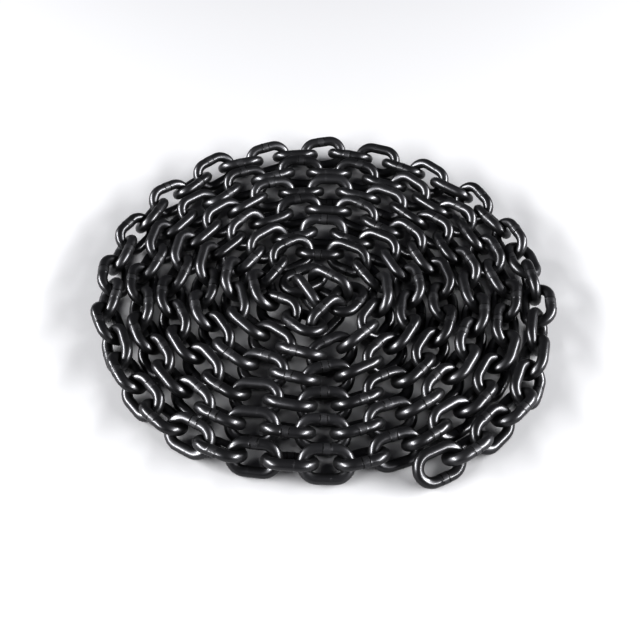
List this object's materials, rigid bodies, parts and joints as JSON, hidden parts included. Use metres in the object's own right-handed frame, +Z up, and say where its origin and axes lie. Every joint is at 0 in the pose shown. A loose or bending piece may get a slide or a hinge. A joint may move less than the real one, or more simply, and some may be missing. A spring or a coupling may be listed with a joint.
{
  "type": "heap of lashing chain",
  "caption": "One length of black round link chain laid down as a flat spiral, wound inwards from a free outer end link.",
  "frame": {"origin": "on the floor under the middle of the coil's outline", "axes": "+Z up from the floor; the free outer end link lies towards -Y and a little +X"},
  "size_m": [0.351, 0.3434, 0.0311],
  "materials": {
    "chain_steel": "glossy black oil blackened or painted steel, with brighter worn ridges"
  },
  "bodies": {
    "root": {"outer_end_link": "chain_steel", "first_turn": "chain_steel", "second_turn": "chain_steel", "third_turn": "chain_steel", "fourth_turn": "chain_steel", "fifth_turn": "chain_steel", "sixth_turn": "chain_steel"}
  },
  "joints": []
}
